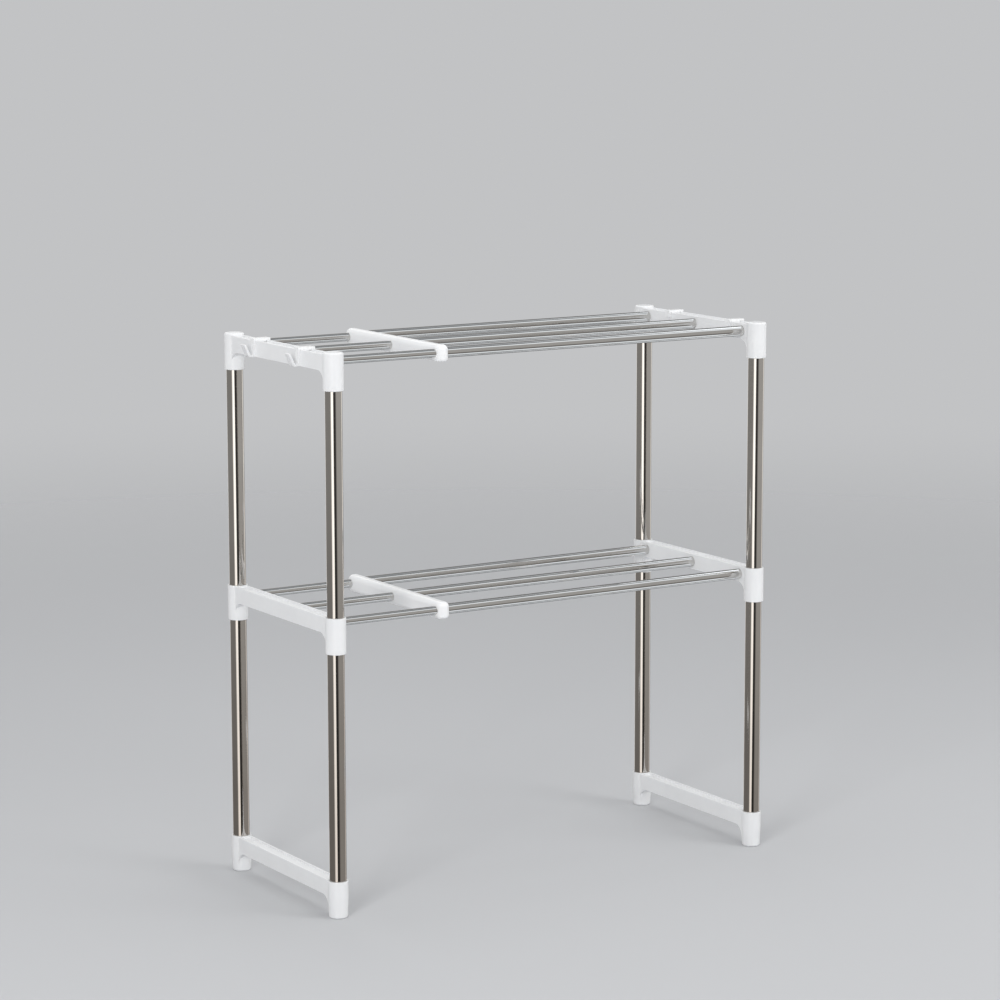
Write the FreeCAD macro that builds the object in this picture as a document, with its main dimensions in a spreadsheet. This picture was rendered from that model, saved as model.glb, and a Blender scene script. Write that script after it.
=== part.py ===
import FreeCAD, Part
import math
import os
import Sketcher
from FreeCAD import Placement, Rotation, Vector

# A two-tier rack that straddles a microwave and telescopes in width.
# Two end frames of steel legs and moulded rails face each other along X. The shelves are
# bars: thin ones fixed in the left frame slide inside thick ones fixed in the right frame.
# Origin: centre of the footprint on the floor. +X to the right, +Y to the back, +Z up.

SIZES = [
    # End frames
    ("rack_height", 630, "floor to the top of the leg sockets"),
    ("leg_spacing_width", 566, "between the leg axes of the two frames, shelf as drawn out here"),
    ("leg_spacing_depth", 231, "between the front and rear leg axes"),
    ("mid_shelf_height", 338.5, "floor to the top of the middle leg sockets"),
    # Leg tubes and the sockets round them
    ("leg_diameter", 19, "leg tube, outside"),
    ("leg_wall", 0.8, "leg tube, wall"),
    ("leg_fit", 0.1, "radial clearance of a leg in its socket"),
    ("socket_wall", 1.9, "plastic round a leg"),
    ("top_socket_length", 42, "top rail, height of a leg socket"),
    ("mid_socket_length", 40.5, "middle rail, height of a leg sleeve"),
    ("foot_socket_length", 42, "foot rail, height of a foot"),
    ("socket_cap", 3, "plastic above the leg in a top socket"),
    ("sleeve_web", 3, "stop between the two legs in a middle sleeve"),
    ("foot_floor", 5, "plastic under the leg in a foot"),
    ("foot_base_diameter", 21, "foot, narrow end on the floor"),
    ("edge_round", 1, "small rounding of the moulded edges"),
    ("cap_round", 2.2, "rounding of the closed ends of the sockets"),
    ("mouth_chamfer", 0.6, "lead-in at the mouth of a leg bore"),
    # Rail beams
    ("beam_width", 16, "rail beam, across"),
    ("beam_height", 18.4, "rail beam, top to bottom"),
    ("beam_drop", 0.6, "beam top below the rim of its sockets"),
    ("top_beam_drop", 2.5, "beam top below the caps of the top rail's sockets"),
    ("arch_radius", 13.5, "quarter round between a beam and its sockets"),
    ("beam_wall", 2, "side walls of the beam"),
    ("recess_depth", 2, "long recess in the top of a beam"),
    ("web_thickness", 2.5, "plastic between the top recess and the cells below"),
    ("rib_thickness", 1.8, "ribs between the cells under a beam"),
    ("bar_block", 18, "solid block in the beam round each bar"),
    ("bar_end_wall", 3, "plastic behind the end of a bar"),
    # Shelf bars
    ("bar_pitch", 96.5, "between neighbouring shelf bars"),
    ("outer_bar_diameter", 12, "thick bar, outside"),
    ("outer_bar_wall", 0.6, "thick bar, wall"),
    ("inner_bar_diameter", 9.5, "thin bar, outside"),
    ("inner_bar_wall", 0.6, "thin bar, wall"),
    ("inner_bar_length", 430, "thin bar, end to end"),
    ("bar_fit", 0.1, "radial clearance of a bar fixed in plastic"),
    ("slide_fit", 0.08, "radial running clearance of the telescope"),
    # Glide plugs in the thin bars
    ("glide_head", 15, "part of the plug that runs in the thick bar"),
    ("glide_spigot", 12, "part of the plug inside the thin bar"),
    ("glide_chamfer", 1, "lead-in of the plug"),
    # Coupler crossbars
    ("coupler_gap", 130, "left rail beam to coupler, shelf as drawn out here"),
    ("coupler_width", 15.5, "coupler, along the bars"),
    ("coupler_height", 19, "coupler, top to bottom"),
    ("coupler_overhang", 9.2, "coupler beyond the axis of the front bar"),
    ("coupler_end_round", 7, "rounding of the coupler's ends, seen from above"),
    ("coupler_top_round", 6, "rounding of the coupler's top edge"),
    ("coupler_base_round", 3.5, "rounding of the coupler's bottom edge"),
    ("coupler_seat", 9.5, "length of thick bar held in the coupler"),
    # Hook clips
    ("hook_width", 9, "clip, along the rail"),
    ("hook_sheet", 2.5, "clip, thickness"),
    ("hook_lip", 6, "inner lip, below the top of the beam"),
    ("hook_drop", 18.2, "root of the hook below the top of the beam"),
    ("hook_reach", 15, "tip of the hook out from the beam"),
    ("hook_rise", 14.3, "tip of the hook above its root"),
    ("hook_gap", 4, "clear width at the bottom of the hook"),
    ("hook_root_round", 3, "outer rounding at the root of the hook"),
    ("hook_inner_round", 1.2, "inner rounding at the root of the hook"),
    ("hook_tip_round", 0.7, "rounding of the hook's tip"),
    ("hook_place", 52, "clips from the middle of the rail"),
    ("hook_place_moved", 72, "right front clip from the middle of the rail"),
]

BARS = (("front", -1), ("centre", 0), ("rear", 1))
ENDS = (("front", -1), ("rear", 1))
CELLS_PER_SPAN = 4

# Sizes that follow from the driving ones
LEG_X = "(Sizes.leg_spacing_width / 2)"
LEG_Y = "(Sizes.leg_spacing_depth / 2)"
BORE_RADIUS = "(Sizes.leg_diameter / 2 + Sizes.leg_fit)"
SOCKET_RADIUS = f"({BORE_RADIUS} + Sizes.socket_wall)"
BEAM_HALF = "(Sizes.beam_width / 2)"
TROUGH_HALF = f"({BEAM_HALF} - Sizes.beam_wall)"
RAIL_INNER_X = f"({LEG_X} - {BEAM_HALF})"
BAR_END_X = f"({LEG_X} + {BEAM_HALF} - Sizes.bar_end_wall)"
TOP_BAR_Z = "(Sizes.rack_height - Sizes.top_beam_drop - Sizes.beam_height / 2)"
MID_BAR_Z = "(Sizes.mid_shelf_height - Sizes.beam_drop - Sizes.beam_height / 2)"
TOP_RAIL_Z = "(Sizes.rack_height - Sizes.top_socket_length)"
MID_RAIL_Z = "(Sizes.mid_shelf_height - Sizes.mid_socket_length)"
SLEEVE_DEPTH = "((Sizes.mid_socket_length - Sizes.sleeve_web) / 2)"
COUPLER_X = f"(Sizes.coupler_gap + Sizes.coupler_width / 2 - {RAIL_INNER_X})"
OUTER_BAR_X = f"({COUPLER_X} + Sizes.coupler_width / 2 - Sizes.coupler_seat)"
OUTER_BORE_RADIUS = "(Sizes.outer_bar_diameter / 2 - Sizes.outer_bar_wall)"
INNER_BORE_RADIUS = "(Sizes.inner_bar_diameter / 2 - Sizes.inner_bar_wall)"


def number(expression):
    """Value of an expression over the sheet's cells."""
    return float(sheet.evalExpression(expression))


def add_body(label):
    body = doc.addObject("PartDesign::Body", "Body")
    body.Label = label
    nodes.append(body)
    return body


def place(body, x="0", y="0", z="0", turn=0):
    """Put a body in the rack, turned about Z by a number of degrees."""
    body.Placement = Placement(Vector(), Rotation(Vector(0, 0, 1), turn))
    for axis, expression in zip("xyz", (x, y, z)):
        body.setExpression(f"Placement.Base.{axis}", expression)


def add_sketch(body, name, role, offset="0"):
    """Sketch on one of the body's own planes, moved along that plane's normal."""
    plane = next(item for item in body.Origin.OriginFeatures if item.Role == role)
    sketch = body.newObject("Sketcher::SketchObject", name)
    sketch.AttachmentSupport = (plane, [""])
    sketch.MapMode = "FlatFace"
    sketch.setExpression("AttachmentOffset.Base.z", offset)
    return sketch


def bind(sketch, expression, kind, *where):
    """Add a dimension to a sketch and tie it to an expression."""
    index = sketch.addConstraint(Sketcher.Constraint(kind, *where, number(expression)))
    sketch.setExpression(f"Constraints[{index}]", expression)


def add_circle(sketch, x, y, radius):
    centre = Vector(number(x), number(y), 0)
    circle = sketch.addGeometry(Part.Circle(centre, Vector(0, 0, 1), number(radius)), False)
    bind(sketch, x, "DistanceX", circle, 3)
    bind(sketch, y, "DistanceY", circle, 3)
    bind(sketch, radius, "Radius", circle)


def add_outline(sketch, corners):
    """Closed outline through corners (x, y) or, with a rounded corner, (x, y, radius).

    Each corner is a fixed point. A side runs through the points at its two ends, and a
    rounded corner is an arc tangent to the sides that meet there.
    """
    points = [Vector(number(corner[0]), number(corner[1]), 0) for corner in corners]
    rounds = [number(corner[2]) if len(corner) > 2 else 0 for corner in corners]
    count = len(points)
    starts = []
    ends = []
    for index, point in enumerate(points):
        before = (points[index - 1] - point).normalize()
        after = (points[(index + 1) % count] - point).normalize()
        half_angle = before.getAngle(after) / 2
        setback = rounds[index] / math.tan(half_angle) if rounds[index] else 0
        ends.append(point + before * setback)
        starts.append(point + after * setback)
    marks = []
    sides = []
    for index, point in enumerate(points):
        mark = sketch.addGeometry(Part.Point(point), True)
        bind(sketch, corners[index][0], "DistanceX", mark, 1)
        bind(sketch, corners[index][1], "DistanceY", mark, 1)
        marks.append(mark)
    for index in range(count):
        line = Part.LineSegment(starts[index], ends[(index + 1) % count])
        sides.append(sketch.addGeometry(line, False))
    for index, point in enumerate(points):
        side_in = sides[index - 1]
        side_out = sides[index]
        if not rounds[index]:
            sketch.addConstraint(Sketcher.Constraint("Coincident", side_in, 2, marks[index], 1))
            sketch.addConstraint(Sketcher.Constraint("Coincident", side_out, 1, marks[index], 1))
            continue
        sketch.addConstraint(Sketcher.Constraint("PointOnObject", marks[index], 1, side_in))
        sketch.addConstraint(Sketcher.Constraint("PointOnObject", marks[index], 1, side_out))
        add_round(sketch, corners[index][2], point, (side_in, ends[index]), (side_out, starts[index]))


def add_round(sketch, radius, corner, arriving, leaving):
    """Arc of the given radius, tangent to the side arriving at a corner and the one leaving it."""
    side_in, touch_in = arriving
    side_out, touch_out = leaving
    middle = (touch_in + touch_out) / 2
    reach = number(radius) ** 2 + (touch_in - corner).Length ** 2
    centre = corner + (middle - corner).normalize() * math.sqrt(reach)
    start = math.atan2(touch_in.y - centre.y, touch_in.x - centre.x)
    finish = math.atan2(touch_out.y - centre.y, touch_out.x - centre.x)
    left_turn = (corner - touch_in).cross(touch_out - corner).z > 0
    sweep = (start, finish) if left_turn else (finish, start)
    circle = Part.Circle(centre, Vector(0, 0, 1), number(radius))
    arc = sketch.addGeometry(Part.ArcOfCircle(circle, *sweep), False)
    tip_in, tip_out = (1, 2) if left_turn else (2, 1)
    sketch.addConstraint(Sketcher.Constraint("Tangent", side_in, 2, arc, tip_in))
    sketch.addConstraint(Sketcher.Constraint("Tangent", side_out, 1, arc, tip_out))
    bind(sketch, radius, "Radius", arc)


def add_rectangle(sketch, left, right, low, high):
    add_outline(sketch, [(left, low), (right, low), (right, high), (left, high)])


def pad(body, sketch, length, midplane=False):
    feature = body.newObject("PartDesign::Pad", "Pad")
    feature.Profile = sketch
    feature.setExpression("Length", length)
    feature.Midplane = midplane
    return feature


def cut(body, kind, sketch, depth=None, upward=False):
    """Pocket or Groove that must take material away."""
    doc.recompute()
    before = body.Shape.Volume
    feature = body.newObject(f"PartDesign::{kind}", kind)
    feature.Profile = sketch
    if kind == "Groove":
        feature.ReferenceAxis = (sketch, ["V_Axis"])
        feature.Angle = 360
    elif depth is None:
        feature.Type = "ThroughAll"
    else:
        feature.setExpression("Length", depth)
        feature.Reversed = upward
    doc.recompute()
    if not feature.Shape.Volume < before - 0.001:
        raise RuntimeError(f"{body.Label}: {feature.Label} takes nothing away")
    return feature


def revolve(body, sketch):
    feature = body.newObject("PartDesign::Revolution", "Revolution")
    feature.Profile = sketch
    feature.ReferenceAxis = (sketch, ["V_Axis"])
    feature.Angle = 360
    return feature


def edges_where(feature, test):
    """Names of the feature's edges that pass a test."""
    edges = enumerate(feature.Shape.Edges, 1)
    return [f"Edge{index}" for index, edge in edges if test(edge)]


def fillet(body, base, edges, radius):
    """Round some edges of the body's last feature."""
    feature = body.newObject("PartDesign::Fillet", "Fillet")
    feature.Base = (base, edges)
    feature.setExpression("Radius", radius)
    return feature


# ---------------------------------------------------------------- rails

def add_rail(label, length, drop, base_radius, base_round, rim_round, bores, bar_radius=None):
    """Moulded rail: two leg sockets, a beam between them and the quarter rounds under it.

    The rail stands on z = 0 of its own frame with its leg axes in the YZ plane, and the
    beam runs in the same plane, narrower than the sockets; its inner face looks along +X.
    bores lists the (low, high) heights of the leg bores, each with the end that is its
    open mouth.
    """
    body = add_body(label)
    beam_top = f"({length} - {drop})"
    beam_low = f"({beam_top} - Sizes.beam_height)"

    section = add_sketch(body, "BeamSection", "XZ_Plane")
    add_outline(section, [
        (f"(0 - {BEAM_HALF})", beam_low),
        (BEAM_HALF, beam_low),
        (BEAM_HALF, beam_top, "Sizes.edge_round"),
        (f"(0 - {BEAM_HALF})", beam_top, "Sizes.edge_round"),
    ])
    pad(body, section, "Sizes.leg_spacing_depth", midplane=True)

    for end, sign in ENDS:
        arch = add_sketch(body, f"Arch_{end}", "YZ_Plane")
        add_arch(arch, sign, beam_low)
        pad(body, arch, "Sizes.beam_width", midplane=True)
        socket = add_sketch(body, f"Socket_{end}", "XZ_Plane", f"{-sign} * {LEG_Y}")
        add_outline(socket, [
            ("0", "0"),
            (base_radius, "0", base_round),
            (SOCKET_RADIUS, beam_low),
            (SOCKET_RADIUS, length, rim_round),
            ("0", length),
        ])
        revolve(body, socket)

    for end, sign in ENDS:
        for low, high, mouth in bores:
            bore = add_sketch(body, f"Bore_{end}", "XZ_Plane", f"{-sign} * {LEG_Y}")
            add_bore(bore, low, high, mouth)
            cut(body, "Groove", bore)

    add_beam_cells(body, beam_low)
    recess = add_sketch(body, "TopRecess", "XY_Plane", beam_top)
    reach = f"({LEG_Y} - {SOCKET_RADIUS} - Sizes.beam_wall)"
    add_rectangle(recess, f"(0 - {TROUGH_HALF})", TROUGH_HALF, f"(0 - {reach})", reach)
    cut(body, "Pocket", recess, "Sizes.recess_depth")

    if bar_radius:
        seats = add_sketch(body, "BarSeats", "YZ_Plane", BEAM_HALF)
        for _, sign in BARS:
            add_circle(seats, f"{sign} * Sizes.bar_pitch", f"({beam_low} + Sizes.beam_height / 2)", bar_radius)
        cut(body, "Pocket", seats, "Sizes.beam_width - Sizes.bar_end_wall")
    return body


def add_arch(sketch, sign, beam_low):
    """Corner under the beam: a quarter round between the beam and its socket.

    The corner reaches a little way up into the beam and into the socket, so that all
    join in one solid.
    """
    overlap = f"({beam_low} + Sizes.web_thickness)"
    inner_y = f"{sign} * ({LEG_Y} - {BEAM_HALF} - Sizes.arch_radius)"
    foot_z = f"({beam_low} - Sizes.arch_radius)"
    socket_y = f"{sign} * ({LEG_Y} - {BEAM_HALF})"
    start = Vector(number(inner_y), number(beam_low), 0)
    finish = Vector(number(socket_y), number(foot_z), 0)
    centre = Vector(start.x, finish.y, 0)
    angles = (0, math.pi / 2) if sign > 0 else (math.pi / 2, math.pi)
    circle = Part.Circle(centre, Vector(0, 0, 1), number("Sizes.arch_radius"))
    arc = sketch.addGeometry(Part.ArcOfCircle(circle, *angles), False)
    beam_tip, leg_tip = (2, 1) if sign > 0 else (1, 2)
    bind(sketch, inner_y, "DistanceX", arc, 3)
    bind(sketch, foot_z, "DistanceY", arc, 3)
    bind(sketch, "Sizes.arch_radius", "Radius", arc)
    upper = [Vector(finish.x, number(overlap), 0), Vector(start.x, number(overlap), 0)]
    lines = []
    for begin, end in ((finish, upper[0]), (upper[0], upper[1]), (upper[1], start)):
        lines.append(sketch.addGeometry(Part.LineSegment(begin, end), False))
    sketch.addConstraint(Sketcher.Constraint("Coincident", arc, leg_tip, lines[0], 1))
    sketch.addConstraint(Sketcher.Constraint("Coincident", lines[0], 2, lines[1], 1))
    sketch.addConstraint(Sketcher.Constraint("Coincident", lines[1], 2, lines[2], 1))
    sketch.addConstraint(Sketcher.Constraint("Coincident", lines[2], 2, arc, beam_tip))
    sketch.addConstraint(Sketcher.Constraint("Vertical", lines[0]))
    sketch.addConstraint(Sketcher.Constraint("Horizontal", lines[1]))
    sketch.addConstraint(Sketcher.Constraint("Vertical", lines[2]))
    bind(sketch, overlap, "DistanceY", lines[0], 2)
    bind(sketch, foot_z, "DistanceY", arc, leg_tip)
    bind(sketch, inner_y, "DistanceX", arc, beam_tip)


def add_bore(sketch, low, high, mouth):
    """Half section of a leg bore with a chamfered mouth at its low or high end."""
    flare = f"({BORE_RADIUS} + Sizes.mouth_chamfer)"
    if mouth == "high":
        corners = [("0", low), (BORE_RADIUS, low), (BORE_RADIUS, f"({high} - Sizes.mouth_chamfer)"),
                   (flare, high), ("0", high)]
    else:
        corners = [("0", low), (flare, low), (BORE_RADIUS, f"({low} + Sizes.mouth_chamfer)"),
                   (BORE_RADIUS, high), ("0", high)]
    add_outline(sketch, corners)


def add_beam_cells(body, beam_low):
    """Open cells under the beam, with ribs between them and solid blocks at the bars."""
    span = "(Sizes.bar_pitch - Sizes.bar_block)"
    ribs = f"({CELLS_PER_SPAN - 1} * Sizes.rib_thickness)"
    cell = f"(({span} - {ribs}) / {CELLS_PER_SPAN})"
    cells = add_sketch(body, "BeamCells", "XY_Plane", beam_low)
    for _, sign in ENDS:
        for index in range(CELLS_PER_SPAN):
            near = f"(Sizes.bar_block / 2 + {index} * ({cell} + Sizes.rib_thickness))"
            low, high = (near, f"({near} + {cell})")
            if sign < 0:
                low, high = (f"(0 - {high})", f"(0 - {near})")
            add_rectangle(cells, f"(0 - {TROUGH_HALF})", TROUGH_HALF, low, high)
    depth = "Sizes.beam_height - Sizes.recess_depth - Sizes.web_thickness"
    cut(body, "Pocket", cells, depth, upward=True)


def add_side_rails(side, x, turn, bar_radius):
    """Top, middle and foot rail of one end frame."""
    top = add_rail(f"{side}_top_rail", "Sizes.top_socket_length", "Sizes.top_beam_drop",
                   SOCKET_RADIUS, "Sizes.edge_round", "Sizes.cap_round",
                   [("0", "(Sizes.top_socket_length - Sizes.socket_cap)", "low")], bar_radius)
    place(top, x, "0", TOP_RAIL_Z, turn)
    middle = add_rail(f"{side}_mid_rail", "Sizes.mid_socket_length", "Sizes.beam_drop",
                      SOCKET_RADIUS, "Sizes.edge_round", "Sizes.edge_round / 2",
                      [("0", SLEEVE_DEPTH, "low"),
                       (f"({SLEEVE_DEPTH} + Sizes.sleeve_web)", "Sizes.mid_socket_length", "high")],
                      bar_radius)
    place(middle, x, "0", MID_RAIL_Z, turn)
    foot = add_rail(f"{side}_foot_rail", "Sizes.foot_socket_length", "Sizes.beam_drop",
                    "Sizes.foot_base_diameter / 2", "Sizes.cap_round", "Sizes.edge_round / 2",
                    [("Sizes.foot_floor", "Sizes.foot_socket_length", "high")])
    place(foot, x, "0", "0", turn)


# ---------------------------------------------------------------- tubes

def add_tube(label, plane, radius, wall, length):
    """Round tube that runs from its origin along the normal of the plane."""
    body = add_body(label)
    ring = add_sketch(body, "Section", plane)
    add_circle(ring, "0", "0", radius)
    add_circle(ring, "0", "0", f"({radius} - {wall})")
    pad(body, ring, length)
    return body


def add_legs(side, x):
    """Lower legs from foot to middle sleeve, upper legs from there to the top socket."""
    spans = (
        ("lower", "Sizes.foot_floor", f"({MID_RAIL_Z} + {SLEEVE_DEPTH})"),
        ("upper", f"({MID_RAIL_Z} + {SLEEVE_DEPTH} + Sizes.sleeve_web)",
         "(Sizes.rack_height - Sizes.socket_cap)"),
    )
    for tier, low, high in spans:
        for end, sign in ENDS:
            leg = add_tube(f"{side}_{tier}_leg_{end}", "XY_Plane", "Sizes.leg_diameter / 2",
                           "Sizes.leg_wall", f"{high} - {low}")
            place(leg, x, f"{sign} * {LEG_Y}", low)


def add_bars(shelf, z):
    """Three telescopic bars of a shelf, with the glide plugs hidden in them."""
    for name, sign in BARS:
        y = f"{sign} * Sizes.bar_pitch"
        inner = add_tube(f"{shelf}_inner_bar_{name}", "YZ_Plane", "Sizes.inner_bar_diameter / 2",
                         "Sizes.inner_bar_wall", "Sizes.inner_bar_length")
        place(inner, f"0 - {BAR_END_X}", y, z)
        outer = add_tube(f"{shelf}_outer_bar_{name}", "YZ_Plane", "Sizes.outer_bar_diameter / 2",
                         "Sizes.outer_bar_wall", f"{BAR_END_X} - {OUTER_BAR_X}")
        place(outer, OUTER_BAR_X, y, z)
        add_glide(f"{shelf}_glide_{name}", y, z)


def add_glide(label, y, z):
    """Turned plug: the spigot fills the end of the thin bar, the head runs in the thick bar."""
    body = add_body(label)
    spigot_radius = f"({INNER_BORE_RADIUS} - Sizes.bar_fit)"
    head_radius = f"({OUTER_BORE_RADIUS} - Sizes.slide_fit)"
    half = add_sketch(body, "HalfSection", "XZ_Plane")
    add_outline(half, [
        ("0", "0 - Sizes.glide_spigot"),
        (spigot_radius, "0 - Sizes.glide_spigot"),
        (spigot_radius, "0"),
        (head_radius, "0"),
        (head_radius, "Sizes.glide_head - Sizes.glide_chamfer"),
        (f"({head_radius} - Sizes.glide_chamfer)", "Sizes.glide_head"),
        ("0", "Sizes.glide_head"),
    ])
    revolve(body, half)
    body.Placement = Placement(Vector(), Rotation(Vector(0, 1, 0), 90))
    body.setExpression("Placement.Base.x", f"Sizes.inner_bar_length - {BAR_END_X}")
    body.setExpression("Placement.Base.y", y)
    body.setExpression("Placement.Base.z", z)


# ---------------------------------------------------------------- coupler

def add_coupler(label, z):
    """Crossbar that holds the ends of the thick bars and guides the thin ones."""
    body = add_body(label)
    half_width = "(Sizes.coupler_width / 2)"
    end_y = "(Sizes.bar_pitch + Sizes.coupler_overhang)"
    plan = add_sketch(body, "Plan", "XY_Plane")
    add_outline(plan, [
        (f"(0 - {half_width})", f"(0 - {end_y})", "Sizes.coupler_end_round"),
        (half_width, f"(0 - {end_y})", "Sizes.coupler_end_round"),
        (half_width, end_y, "Sizes.coupler_end_round"),
        (f"(0 - {half_width})", end_y, "Sizes.coupler_end_round"),
    ])
    block = pad(body, plan, "Sizes.coupler_height", midplane=True)
    doc.recompute()
    for side, size in ((1, "Sizes.coupler_top_round"), (-1, "Sizes.coupler_base_round")):
        rim_z = side * number("Sizes.coupler_height") / 2
        rim = edges_where(block, lambda edge: all(abs(vertex.Z - rim_z) < 0.01
                                                  for vertex in edge.Vertexes))
        block = fillet(body, block, rim, size)
        doc.recompute()

    seats = add_sketch(body, "BarSeats", "YZ_Plane", half_width)
    guides = add_sketch(body, "BarGuides", "YZ_Plane", half_width)
    for _, sign in BARS:
        y = f"{sign} * Sizes.bar_pitch"
        add_circle(seats, y, "0", "Sizes.outer_bar_diameter / 2 + Sizes.bar_fit")
        add_circle(guides, y, "0", "Sizes.inner_bar_diameter / 2 + Sizes.slide_fit")
    cut(body, "Pocket", seats, "Sizes.coupler_seat")
    cut(body, "Pocket", guides)
    place(body, COUPLER_X, "0", z)


# ---------------------------------------------------------------- hook clip

def add_hook(label, x, y, turn):
    """Clip that straps over the beam of a top rail, with an open hook on the outer face."""
    body = add_body(label)
    sheet_gauge = "Sizes.hook_sheet"
    plate = f"(0 - {sheet_gauge})"
    root = f"({plate} - Sizes.hook_gap)"
    back = "Sizes.beam_width"
    low = "(0 - Sizes.hook_drop)"
    tip_x = "(0 - Sizes.hook_reach)"
    tip_z = f"({low} + Sizes.hook_rise)"
    profile = add_sketch(body, "Profile", "XZ_Plane")
    add_outline(profile, [
        ("0", "0"),
        ("0", low),
        (f"({root} - {sheet_gauge})", low, "Sizes.hook_root_round"),
        (tip_x, tip_z, "Sizes.hook_tip_round"),
        (f"({tip_x} + {sheet_gauge})", tip_z, "Sizes.hook_tip_round"),
        (root, f"({low} + {sheet_gauge})", "Sizes.hook_inner_round"),
        (plate, f"({low} + {sheet_gauge})", "Sizes.hook_inner_round"),
        (plate, sheet_gauge, "Sizes.edge_round"),
        (f"({back} + {sheet_gauge})", sheet_gauge, "Sizes.edge_round"),
        (f"({back} + {sheet_gauge})", "0 - Sizes.hook_lip"),
        (back, "0 - Sizes.hook_lip"),
        (back, "0"),
    ])
    pad(body, profile, "Sizes.hook_width", midplane=True)
    place(body, x, y, "(Sizes.rack_height - Sizes.top_beam_drop)", turn)


# ---------------------------------------------------------------- the rack

def check_nodes():
    """Stop unless every object is sound and every node is one valid solid."""
    for item in doc.Objects:
        if "Invalid" in item.State or "Error" in item.State:
            raise RuntimeError(f"{item.Label} of {item.TypeId} failed: {item.State}")
    for node in nodes:
        shape = node.Shape
        if shape.isNull() or not shape.isValid() or len(shape.Solids) != 1:
            raise RuntimeError(f"{node.Label}: not one valid solid")


doc = FreeCAD.newDocument("MicrowaveRack")
sheet = doc.addObject("Spreadsheet::Sheet", "Sizes")
for row, (alias, millimetres, meaning) in enumerate(SIZES, 1):
    sheet.set(f"A{row}", meaning)
    sheet.set(f"B{row}", str(millimetres))
    sheet.setAlias(f"B{row}", alias)
doc.recompute()

nodes = []
frames = (
    ("left", -1, 0, "Sizes.inner_bar_diameter / 2 + Sizes.bar_fit"),
    ("right", 1, 180, "Sizes.outer_bar_diameter / 2 + Sizes.bar_fit"),
)
for side, side_sign, side_turn, seat_radius in frames:
    add_side_rails(side, f"{side_sign} * {LEG_X}", side_turn, seat_radius)
    add_legs(side, f"{side_sign} * {LEG_X}")
    front_place = "Sizes.hook_place" if side == "left" else "Sizes.hook_place_moved"
    hook_x = f"{side_sign} * ({LEG_X} + {BEAM_HALF})"
    add_hook(f"{side}_hook_front", hook_x, f"0 - {front_place}", side_turn)
    add_hook(f"{side}_hook_rear", hook_x, "Sizes.hook_place", side_turn)
for shelf, bar_z in (("top", TOP_BAR_Z), ("mid", MID_BAR_Z)):
    add_bars(shelf, bar_z)
    add_coupler(f"{shelf}_coupler", bar_z)
doc.recompute()
check_nodes()

os.makedirs("parts", exist_ok=True)
for node in nodes:
    node.Shape.exportStep(f"parts/{node.Label}.step")
print(f"{len(nodes)} nodes, {sum(node.Shape.Volume for node in nodes) / 1000:.1f} cm3")
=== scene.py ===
import bpy
import math
from mathutils import Euler, Matrix, Vector


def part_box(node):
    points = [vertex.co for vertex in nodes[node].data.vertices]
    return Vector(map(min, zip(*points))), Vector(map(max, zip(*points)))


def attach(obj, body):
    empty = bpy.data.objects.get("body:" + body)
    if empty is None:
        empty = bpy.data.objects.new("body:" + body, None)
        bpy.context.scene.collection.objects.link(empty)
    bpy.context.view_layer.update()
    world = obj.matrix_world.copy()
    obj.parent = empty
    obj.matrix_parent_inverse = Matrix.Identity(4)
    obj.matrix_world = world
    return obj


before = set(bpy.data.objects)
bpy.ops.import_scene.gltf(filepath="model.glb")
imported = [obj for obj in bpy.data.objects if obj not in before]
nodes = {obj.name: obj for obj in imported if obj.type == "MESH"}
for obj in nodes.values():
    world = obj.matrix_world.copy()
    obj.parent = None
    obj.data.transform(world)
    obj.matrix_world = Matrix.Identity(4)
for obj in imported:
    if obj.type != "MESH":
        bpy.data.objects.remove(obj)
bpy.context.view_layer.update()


# ------------------------------------------------------------------ moulded rails
# Six rails of white polypropylene, one above the other in each end frame. Each is moulded
# in one shot, beam and leg sockets together, in a tool with a fine spark-eroded skin.

def new_material(name):
    """A node material with its Principled shader, ready to be wired."""
    material = bpy.data.materials.new(name)
    material.use_nodes = True
    shader = material.node_tree.nodes["Principled BSDF"]
    return material, material.node_tree, shader


def node_of(tree, kind, **settings):
    """A node of one kind, with its properties or its input sockets set by name."""
    node = tree.nodes.new(kind)
    for name, value in settings.items():
        if hasattr(node, name):
            setattr(node, name, value)
        else:
            node.inputs[name.replace("_", " ")].default_value = value
    return node


NOISE_EDGE = 0.55


def noise_on(tree, spread, scale, detail=4.0):
    """Noise over the object's own coordinates, stretched by spread along each axis."""
    place = node_of(tree, "ShaderNodeTexCoord")
    stretch = node_of(tree, "ShaderNodeMapping", Scale=spread)
    noise = node_of(tree, "ShaderNodeTexNoise", Scale=scale, Detail=detail, Roughness=NOISE_EDGE)
    tree.links.new(place.outputs["Object"], stretch.inputs["Vector"])
    tree.links.new(stretch.outputs["Vector"], noise.inputs["Vector"])
    return noise.outputs["Fac"]


def ramp_on(tree, source, stops):
    """A colour ramp over a value, from a list of (place, colour)."""
    ramp = node_of(tree, "ShaderNodeValToRGB")
    elements = ramp.color_ramp.elements
    while len(elements) < len(stops):
        elements.new(0.5)
    for element, (place, colour) in zip(elements, stops):
        element.position = place
        element.color = (*colour, 1)
    tree.links.new(source, ramp.inputs["Fac"])
    return ramp.outputs["Color"]


def range_on(tree, source, low, high):
    """A value from 0 to 1 taken to another range."""
    spread = node_of(tree, "ShaderNodeMapRange")
    spread.inputs["To Min"].default_value = low
    spread.inputs["To Max"].default_value = high
    tree.links.new(source, spread.inputs["Value"])
    return spread.outputs["Result"]


def bump_on(tree, shader, height, depth, strength):
    """Surface relief, depth in metres."""
    bump = node_of(tree, "ShaderNodeBump", Strength=strength, Distance=depth)
    tree.links.new(height, bump.inputs["Height"])
    tree.links.new(bump.outputs["Normal"], shader.inputs["Normal"])


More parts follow.
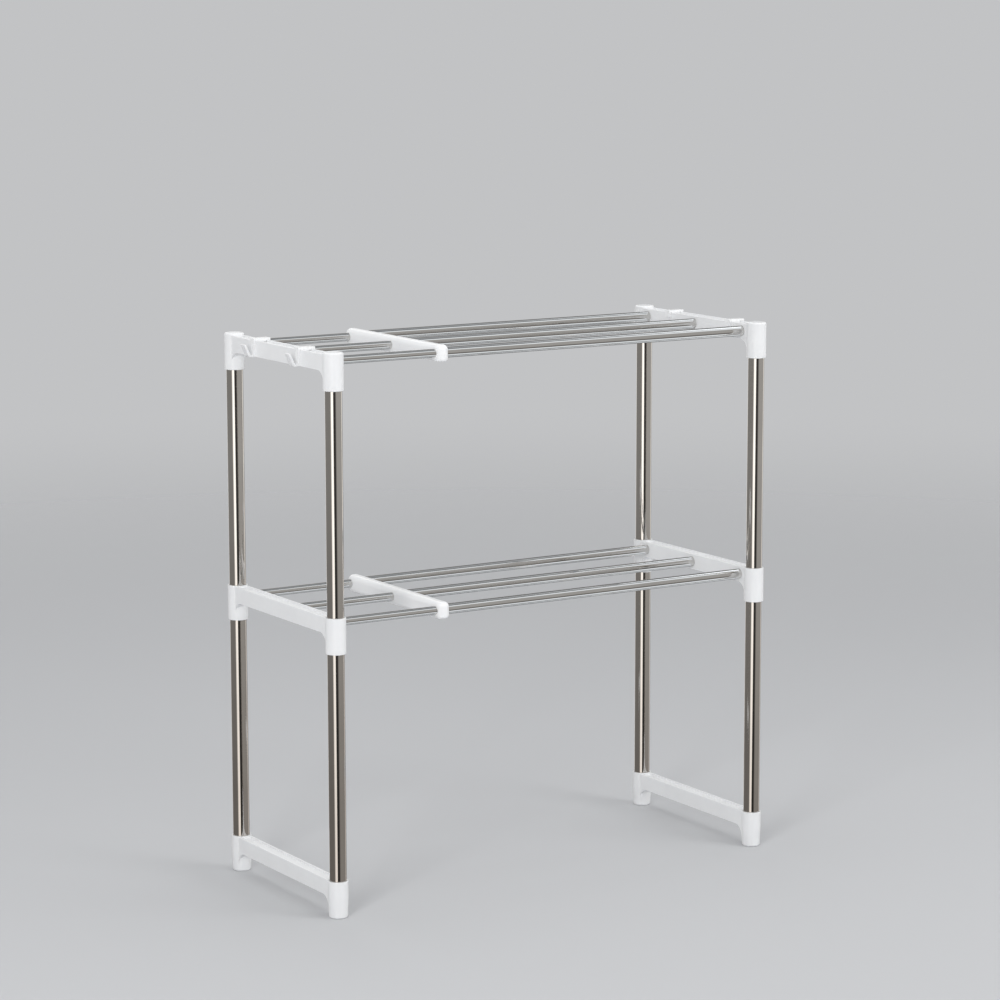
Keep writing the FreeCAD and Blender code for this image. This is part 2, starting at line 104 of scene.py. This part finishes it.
EVEN = (1, 1, 1)
CLOUD_SCALE = 38
CLOUD_LOW, CLOUD_HIGH = 0.3, 0.7
POLISH_SCALE = 160
SMOOTHER, ROUGHER = 0.05, 0.07
SPARK_SCALE = 2600
SPARK_DEPTH = 0.00006
SPARK_STRENGTH = 0.35
GLOW = 0.12
GLOW_COLOUR = (0.9, 0.95, 1.0)
GLOW_REACH = 0.0015


def moulded_plastic(name, light, shade, gloss):
    """White polypropylene: a faint cloudiness in the colour, a sparked skin and a soft sheen."""
    material, tree, shader = new_material(name)
    cloud = noise_on(tree, EVEN, CLOUD_SCALE)
    colour = ramp_on(tree, cloud, [(CLOUD_LOW, shade), (CLOUD_HIGH, light)])
    tree.links.new(colour, shader.inputs["Base Color"])
    polish = noise_on(tree, EVEN, POLISH_SCALE)
    tree.links.new(range_on(tree, polish, gloss - SMOOTHER, gloss + ROUGHER), shader.inputs["Roughness"])
    sparks = noise_on(tree, EVEN, SPARK_SCALE, detail=2.0)
    bump_on(tree, shader, sparks, SPARK_DEPTH, SPARK_STRENGTH)
    shader.inputs["Subsurface Weight"].default_value = GLOW
    shader.inputs["Subsurface Radius"].default_value = GLOW_COLOUR
    shader.inputs["Subsurface Scale"].default_value = GLOW_REACH
    return material


def wear(node_names, material):
    """Give CAD nodes their finish."""
    for name in node_names:
        nodes[name].data.materials.clear()
        nodes[name].data.materials.append(material)


SIDES = ("left", "right")
RAIL_LEVELS = ("top", "mid", "foot")
rail_white = moulded_plastic("rail_white", (0.83, 0.835, 0.84), (0.80, 0.805, 0.812), 0.34)
wear([f"{side}_{level}_rail" for side in SIDES for level in RAIL_LEVELS], rail_white)


# ------------------------------------------------------------------ leg tubes
# Eight legs of stainless steel tube, belt-polished as they turn, so very fine marks run round
# the tube. Handling has left faint smudges. They are pushed into the rails' sockets.

def math_on(tree, operation, *values):
    """A sum over sockets and plain numbers."""
    node = node_of(tree, "ShaderNodeMath", operation=operation)
    for socket, value in zip(node.inputs, values):
        if isinstance(value, (int, float)):
            socket.default_value = value
        else:
            tree.links.new(value, socket)
    return node.outputs["Value"]


RINGS_ALONG = 2400
RINGS_ROUND = 6
RING_DEPTH = 0.0000004
RING_STRENGTH = 0.2
RING_GLOSS = 0.03
SMUDGE_SCALE = 24
SMUDGE_TONE = 0.95
SMUDGE_LOW, SMUDGE_HIGH = 0.35, 0.65
SMUDGE_GLOSS = (0.85, 1.15)


def polished_tube(name, along, tone, roughness):
    """Polished stainless steel whose polishing marks run round the given axis."""
    material, tree, shader = new_material(name)
    rings = tuple(RINGS_ALONG if axis == along else RINGS_ROUND for axis in "XYZ")
    marks = noise_on(tree, rings, 1.0, detail=2.0)
    smudges = noise_on(tree, EVEN, SMUDGE_SCALE)
    smudged = tuple(channel * SMUDGE_TONE for channel in tone)
    colour = ramp_on(tree, smudges, [(SMUDGE_LOW, smudged), (SMUDGE_HIGH, tone)])
    tree.links.new(colour, shader.inputs["Base Color"])
    worn = math_on(tree, "MULTIPLY", marks, range_on(tree, smudges, *SMUDGE_GLOSS))
    gloss = range_on(tree, worn, roughness - RING_GLOSS, roughness + RING_GLOSS)
    tree.links.new(gloss, shader.inputs["Roughness"])
    bump_on(tree, shader, marks, RING_DEPTH, RING_STRENGTH)
    shader.inputs["Metallic"].default_value = 1.0
    return material


leg_steel = polished_tube("leg_steel", "Z", (0.605, 0.58, 0.55), 0.08)
wear([f"{side}_{tier}_leg_{end}" for side in SIDES for tier in ("lower", "upper")
      for end in ("front", "rear")], leg_steel)


# ------------------------------------------------------------------ shelf bars
# Each shelf has three telescopes of thinner polished tube: thick bars from the right frame
# and thin bars from the left frame that slide inside them. They are a little brighter.

BARS = ("front", "centre", "rear")
SHELVES = ("top", "mid")
bar_steel = polished_tube("bar_steel", "X", (0.625, 0.615, 0.60), 0.06)
wear([f"{shelf}_{kind}_bar_{bar}" for shelf in SHELVES for kind in ("inner", "outer")
      for bar in BARS], bar_steel)


# ------------------------------------------------------------------ glide plugs
# A turned nylon plug closes the hidden end of each thin bar and carries it inside the
# thick one. It stays the cream colour of undyed nylon.

glide_nylon = moulded_plastic("glide_nylon", (0.74, 0.72, 0.66), (0.68, 0.66, 0.60), 0.42)
wear([f"{shelf}_glide_{bar}" for shelf in SHELVES for bar in BARS], glide_nylon)


# ------------------------------------------------------------------ couplers
# One white crossbar per shelf is pressed onto the ends of the three thick bars, and the
# thin bars slide through it. It comes from a better polished tool than the rails.

coupler_white = moulded_plastic("coupler_white", (0.875, 0.88, 0.885), (0.845, 0.85, 0.857), 0.29)
wear([f"{shelf}_coupler" for shelf in SHELVES], coupler_white)


# ------------------------------------------------------------------ hook clips
# Four small springy clips strap over the beams of the top rails, two on each side, and
# carry an open hook on the outer face for utensils.

clip_white = moulded_plastic("clip_white", (0.86, 0.865, 0.87), (0.83, 0.835, 0.84), 0.26)
wear([f"{side}_hook_{end}" for side in SIDES for end in ("front", "rear")], clip_white)


# ------------------------------------------------------------------ clip ribs
# Under its strap each clip has a low rib, moulded with it, that drops into the long recess
# in the top of the beam. It fills the recess there and keeps the clip from walking along.

LEG_AXIS = 0.283
RIB_ACROSS = 0.0117
RIB_ALONG = 0.0086
RIB_FLOOR = 0.6256
RIB_TOP = 0.6284
RIB_EDGE = 0.0004
rib_size = (RIB_ACROSS, RIB_ALONG, RIB_TOP - RIB_FLOOR)
rib_centre = (RIB_FLOOR + RIB_TOP) / 2
bpy.ops.object.select_all(action="DESELECT")
bpy.ops.mesh.primitive_cube_add(size=1)
bpy.ops.object.mode_set(mode="EDIT")
bpy.ops.transform.resize(value=rib_size, center_override=(0, 0, 0))
bpy.ops.mesh.bevel(offset=RIB_EDGE, segments=3, profile=0.5, affect="EDGES")
bpy.ops.object.mode_set(mode="OBJECT")
rib_pattern = bpy.context.object
for side, across in zip(SIDES, (-LEG_AXIS, LEG_AXIS)):
    for end in ("front", "rear"):
        low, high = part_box(f"{side}_hook_{end}")
        rib = rib_pattern.copy()
        rib.data = rib_pattern.data.copy()
        rib.data.transform(Matrix.Translation((across, (low[1] + high[1]) / 2, rib_centre)))
        rib.name = f"{side}_hook_{end}_rib"
        bpy.context.collection.objects.link(rib)
        rib.data.materials.append(clip_white)
        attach(rib, f"{side}_frame")
bpy.data.objects.remove(rib_pattern)


# ------------------------------------------------------------------ floor
# A plain pale floor that fades into the background a little way out, so that it looks the
# same from every side.

PALE = (0.54, 0.545, 0.555)
FLOOR_RADIUS = 6.0
FLOOR_DULL = 0.75
FLOOR_SHEEN = 0.2
FADE_STARTS = 1.0
FADE_ENDS = 4.0
bpy.ops.object.select_all(action="DESELECT")
bpy.ops.mesh.primitive_circle_add(vertices=96, radius=FLOOR_RADIUS, fill_type="NGON")
floor = bpy.context.object
floor.name = "floor"
floor_paint, floor_tree, floor_shader = new_material("floor_paint")
floor_shader.inputs["Base Color"].default_value = (*PALE, 1)
floor_shader.inputs["Roughness"].default_value = FLOOR_DULL
floor_shader.inputs["Specular IOR Level"].default_value = FLOOR_SHEEN
floor_place = node_of(floor_tree, "ShaderNodeTexCoord")
floor_reach = node_of(floor_tree, "ShaderNodeVectorMath", operation="LENGTH")
floor_tree.links.new(floor_place.outputs["Object"], floor_reach.inputs[0])
floor_fade = node_of(floor_tree, "ShaderNodeMapRange", interpolation_type="SMOOTHSTEP")
floor_fade.inputs["From Min"].default_value = FADE_STARTS
floor_fade.inputs["From Max"].default_value = FADE_ENDS
floor_tree.links.new(floor_reach.outputs["Value"], floor_fade.inputs["Value"])
floor_clear = node_of(floor_tree, "ShaderNodeBsdfTransparent")
floor_mix = node_of(floor_tree, "ShaderNodeMixShader")
floor_tree.links.new(floor_fade.outputs["Result"], floor_mix.inputs["Fac"])
floor_tree.links.new(floor_shader.outputs["BSDF"], floor_mix.inputs[1])
floor_tree.links.new(floor_clear.outputs["BSDF"], floor_mix.inputs[2])
floor_output = floor_tree.nodes["Material Output"]
floor_tree.links.new(floor_mix.outputs["Shader"], floor_output.inputs["Surface"])
floor.data.materials.append(floor_paint)
floor.visible_glossy = False


# ------------------------------------------------------------------ room
# A made-up room for the polished steel to mirror. Matt surfaces get one plain light in its
# place, and the eye sees a plain pale background.

def mix_on(tree, amount, first, second, blend_type="MIX"):
    """Two colours mixed by a socket's or a plain amount."""
    mix = node_of(tree, "ShaderNodeMix", data_type="RGBA", blend_type=blend_type)
    for name, value in (("Factor", amount), ("A", first), ("B", second)):
        if isinstance(value, bpy.types.NodeSocket):
            tree.links.new(value, mix.inputs[name])
        else:
            mix.inputs[name].default_value = value
    return mix.outputs["Result"]


def tinted(level, tint):
    """A tint at a level of light."""
    return tuple(level * channel for channel in tint)


world = bpy.data.worlds.new("room")
bpy.context.scene.world = world
world.use_nodes = True
room = world.node_tree
room.nodes.clear()
look = node_of(room, "ShaderNodeTexCoord")
way = node_of(room, "ShaderNodeSeparateXYZ")
room.links.new(look.outputs["Generated"], way.inputs["Vector"])

# All round, in degrees to the right of the onlooker, each thing has one level of light.
ONLOOKER_TURN = math.radians(-32)
WINDOW = 2.0
FAR_WINDOW = 1.4
ONLOOKER = 0.05
LEFT_WALL = 0.3
RIGHT_WALL = 0.5
FAR_WALL = 0.2
ALL_ROUND = (
    (-180, FAR_WALL), (-170, FAR_WINDOW), (-160, FAR_WINDOW), (-150, LEFT_WALL),
    (-40, LEFT_WALL), (-25, WINDOW), (-5, WINDOW), (0, ONLOOKER), (25, ONLOOKER),
    (40, RIGHT_WALL), (125, RIGHT_WALL), (130, FAR_WINDOW), (140, FAR_WINDOW),
    (150, FAR_WALL), (180, FAR_WALL),
)
turn = math_on(room, "ARCTAN2", way.outputs["X"], math_on(room, "MULTIPLY", way.outputs["Y"], -1))
bearing = math_on(room, "WRAP", math_on(room, "SUBTRACT", turn, ONLOOKER_TURN), math.pi, -math.pi)
share = math_on(room, "MULTIPLY_ADD", bearing, 0.5 / math.pi, 0.5)
around = ramp_on(room, share, [
    (0.5 + degrees / 360, tinted(level, EVEN)) for degrees, level in ALL_ROUND])

# Up and down, by the height of a direction from -1 straight down to 1 straight up, each
# thing raises or dims that light and tints it.
WARM = (1.05, 0.98, 0.92)
PLAIN = (1.0, 0.98, 0.95)
COOL = (0.95, 1.0, 1.05)
BELOW = tinted(0.9, COOL)
WORKTOP = tinted(2.5, COOL)
SHADOW = tinted(0.3, PLAIN)
GROUND = tinted(0.6, WARM)
WALLS = tinted(1.0, PLAIN)
LAMPS = tinted(2.5, COOL)
CEILING = tinted(0.5, COOL)
UP_AND_DOWN = (
    (-1.0, BELOW), (-0.8, BELOW), (-0.75, WORKTOP), (-0.6, WORKTOP), (-0.55, SHADOW),
    (-0.4, SHADOW), (-0.35, GROUND), (-0.25, GROUND), (-0.15, WALLS), (0.6, WALLS),
    (0.7, LAMPS), (0.8, LAMPS), (0.82, CEILING), (1.0, CEILING),
)
height = math_on(room, "MULTIPLY_ADD", way.outputs["Z"], 0.5, 0.5)
lift = ramp_on(room, height, [(0.5 + z / 2, light) for z, light in UP_AND_DOWN])

PLAIN_LIGHT = (0.62, 0.625, 0.635)
path = node_of(room, "ShaderNodeLightPath")
gleam = mix_on(room, 1.0, around, lift, blend_type="MULTIPLY")
lit = mix_on(room, path.outputs["Is Glossy Ray"], (*PLAIN_LIGHT, 1), gleam)
seen = mix_on(room, path.outputs["Is Camera Ray"], lit, (*PALE, 1))
background = node_of(room, "ShaderNodeBackground")
room.links.new(seen, background.inputs["Color"])
room_output = node_of(room, "ShaderNodeOutputWorld")
room.links.new(background.outputs["Background"], room_output.inputs["Surface"])


# ------------------------------------------------------------------ lamps
# Three soft boxes aimed at the middle of the rack: a key on the left of the camera, a broad
# one overhead and a fill on the right. Places and sizes are in metres, powers in watts.

RACK_MIDDLE = Vector((0, 0, 0.32))


def soft_box(name, place, width, height, power):
    """A rectangular lamp that lights the rack and stays out of sight."""
    lamp = bpy.data.lights.new(name, "AREA")
    lamp.shape = "RECTANGLE"
    lamp.size = width
    lamp.size_y = height
    lamp.energy = power
    box = bpy.data.objects.new(name, lamp)
    bpy.context.scene.collection.objects.link(box)
    box.location = place
    box.rotation_euler = (RACK_MIDDLE - box.location).to_track_quat("-Z", "Y").to_euler()
    box.visible_camera = False
    box.visible_glossy = False


soft_box("key", (-2.4, -1.85, 1.5), 0.9, 1.6, 39)
soft_box("overhead", (0.2, 0.1, 2.6), 2.2, 1.6, 15)
soft_box("fill", (1.9, -2.4, 1.3), 1.4, 1.4, 31)


# ------------------------------------------------------------------ camera
# A long lens, a little above the top shelf, looking at the left front corner.

CAMERA_PLACE = (-1.9803, -3.1728, 1.0348)
CAMERA_YAW = math.radians(31.985)
CAMERA_PITCH = math.radians(9.217)
CAMERA_ROLL = math.radians(-0.092)
SENSOR = 36
FOCAL_LENGTH = 117.264
SIGHT = 60
lens = bpy.data.cameras.new("camera")
lens.sensor_width = SENSOR
lens.lens = FOCAL_LENGTH
lens.clip_end = SIGHT
camera = bpy.data.objects.new("camera", lens)
bpy.context.scene.collection.objects.link(camera)
heading = Euler((math.pi / 2 - CAMERA_PITCH, 0, -CAMERA_YAW)).to_matrix().to_4x4()
camera.matrix_world = (Matrix.Translation(CAMERA_PLACE) @ heading
                       @ Matrix.Rotation(CAMERA_ROLL, 4, "Z"))
bpy.context.scene.camera = camera
bpy.context.scene.view_settings.view_transform = "Standard"
